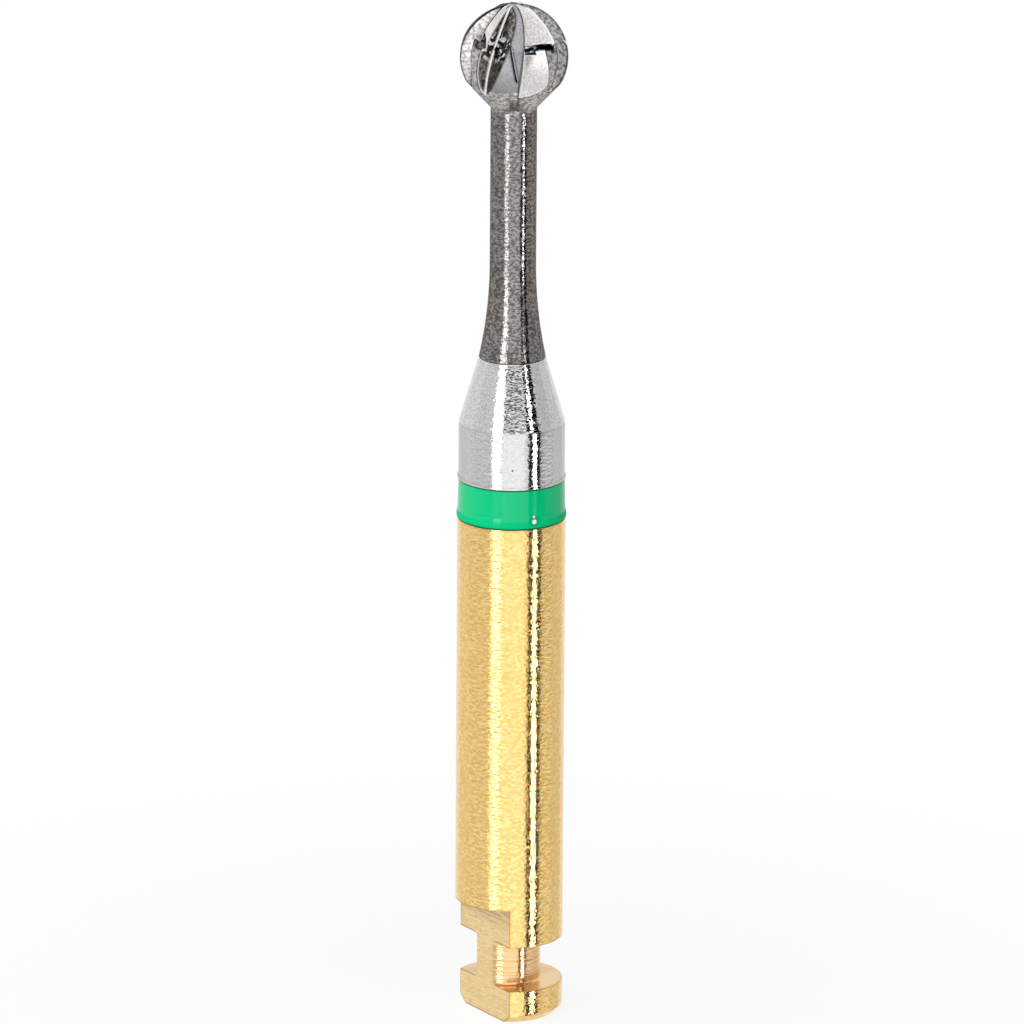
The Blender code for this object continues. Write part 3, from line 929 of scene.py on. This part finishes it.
def tent_light(sheet):
    """How bright the light tent is in each direction, as polished metal shows it.

    Each card has its left and right azimuth, to the right of the camera, its lower and upper elevation,
    and its level. A card hides the ones before it. Each turned surface mirrors its own narrow band: the
    ring about -13.6 degrees, the neck -14.3 to -15.5, the bare steel -16, the gold -16.5 to -17.6, and the
    cone 17 above the horizon.
    """
    back, right, _ = camera_axes()
    front = Vector((back.x, back.y, 0)).normalized()
    direction = sheet.node("ShaderNodeTexCoord", out="Generated")
    along = sheet.dot(direction, front)
    across = sheet.dot(direction, right)
    azimuth = sheet.maths("ARCTAN2", across, along) * degrees(1)
    height = sheet.dot(direction, (0, 0, 1))
    elevation = sheet.maths("ARCSINE", height) * degrees(1)
    cards = [
        ("behind_left", -200, -138, -100, 70, 0.92),
        ("left_wall", -138, -90, -100, 70, 0.85),
        ("behind_right", 138, 200, -100, 70, 0.9),
        ("right_wall", 100, 138, -100, 70, 0.74),
        ("right", 67, 100, -100, 70, 0.63),
        ("right_low", 67, 100, -40, -16.4, 0.98),
        ("front", -21, 36.5, -100, 70, 1.27),
        ("lens", -20, 30, 9, 24, 0.15),
        ("top", -200, 200, 66, 100, 1.2),
        ("left_strip", -38, -22.5, -11.5, 5, 5.0),
        ("left_strip_above", -42, -22.5, 5, 26, 5.0),
        ("left_strip_foot", -37, -22.5, -15.9, -14.0, 9.0),
        ("left_neck", -43, -37, -15.5, -14.0, 9.0),
        ("left_table", -34, -22.5, -40, -15.9, 0.6),
        ("ring_left", -100, -40, -13.9, -12.2, 0.3),
        ("near_flag_foot", 37.5, 48, -50, -16.2, 0.0),
        ("near_flag_middle", 40, 47, -16.2, -15.7, 0.0),
        ("near_flag", 37.5, 48, -15.7, 0, 0.0),
        ("neck_flag", 29, 37.5, -15.7, -13.9, 0.0),
        ("right_table", 49.5, 55.5, -21, -16.2, 13.0),
        ("right_foot", 47, 55, -16.2, -14.0, 6.0),
        ("neck_strip", 49.5, 55.5, -15.5, -14.0, 8.0),
        ("ring_strip", 48, 55.5, -13.9, -12.2, 0.25),
        ("far_flag_foot", 55.5, 65.5, -50, -16.6, 0.0),
        ("far_flag", 55.5, 67, -16.6, 0, 0.0),
        ("left_low", -100, -38, -40, -16.4, 0.95),
        ("neck_far_flag", 67, 76, -15.3, -13.9, 0.0),
        ("ring_right", 67, 100, -13.9, -12.2, 0.1),
        ("near_flag_above", 33, 42, 0, 70, 0.0),
        ("right_strip_above", 42, 48, 0, 26, 3.0),
        ("far_flag_above", 48, 62, 0, 70, 0.0),
    ]
    level = TENT_LEVEL
    for _, left_side, right_side, low, high, strength in cards:
        across_card = sheet.band(azimuth, left_side, right_side, TENT_SOFTNESS)
        inside = across_card * sheet.band(elevation, low, high, TENT_SOFTNESS)
        level = inside * (strength - level) + level
    return level


def make_world():
    """Soft light, most of it from the front left. Only the metal sees the cards of the light tent."""
    world = bpy.data.worlds.new("studio")
    bpy.context.scene.world = world
    world.use_nodes = True
    sheet = Sheet(world.node_tree)
    tent = tent_light(sheet)
    back, right, _ = camera_axes()
    from_key = (back - right * 0.7 + Vector((0, 0, 0.35))).normalized()
    key = sheet.dot(sheet.node("ShaderNodeTexCoord", out="Generated"), from_key)
    glossy = sheet.node("ShaderNodeLightPath", out="Is Glossy Ray")
    camera = sheet.node("ShaderNodeLightPath", out="Is Camera Ray")
    plain = sheet.maths("MAXIMUM", key, 0.0) * KEY_LEVEL + FILL_LEVEL
    plain = camera * (1 - plain) + plain
    level = glossy * (tent - plain) + plain
    light = sheet.node("ShaderNodeBackground", None, {"Color": WHITE, "Strength": level})
    sheet.node("ShaderNodeOutputWorld", None, {"Surface": light})


def make_floor():
    """Pale paper that keeps the bur's faint shadow and turns to plain white away from it."""
    bm = bmesh.new()
    bmesh.ops.create_grid(bm, x_segments=1, y_segments=1, size=FLOOR_SIZE)
    material, sheet = new_finish("pale_floor")
    place = sheet.place()
    distance = sheet.node("ShaderNodeVectorMath", {"operation": "LENGTH"}, {0: place}, "Value")
    camera_ray = sheet.node("ShaderNodeLightPath", out="Is Camera Ray")
    paper = sheet.node("ShaderNodeBsdfDiffuse", None, {"Color": rgb(0.95, 0.95, 0.95)})
    white = sheet.node("ShaderNodeEmission", None, {"Color": WHITE, "Strength": 1.0})
    share = camera_ray * (sheet.step(distance, 3.0, 25.0) * 0.12 + 0.88)
    seen = sheet.node("ShaderNodeMixShader", None, {0: share, 1: paper, 2: white})
    sheet.node("ShaderNodeOutputMaterial", None, {"Surface": seen})
    floor = new_object("floor", bm, [material])
    floor.visible_glossy = False


def main():
    make_camera()
    make_shank()
    make_ring()
    make_head()
    make_world()
    make_floor()
    bpy.context.scene.view_settings.view_transform = "Standard"


main()
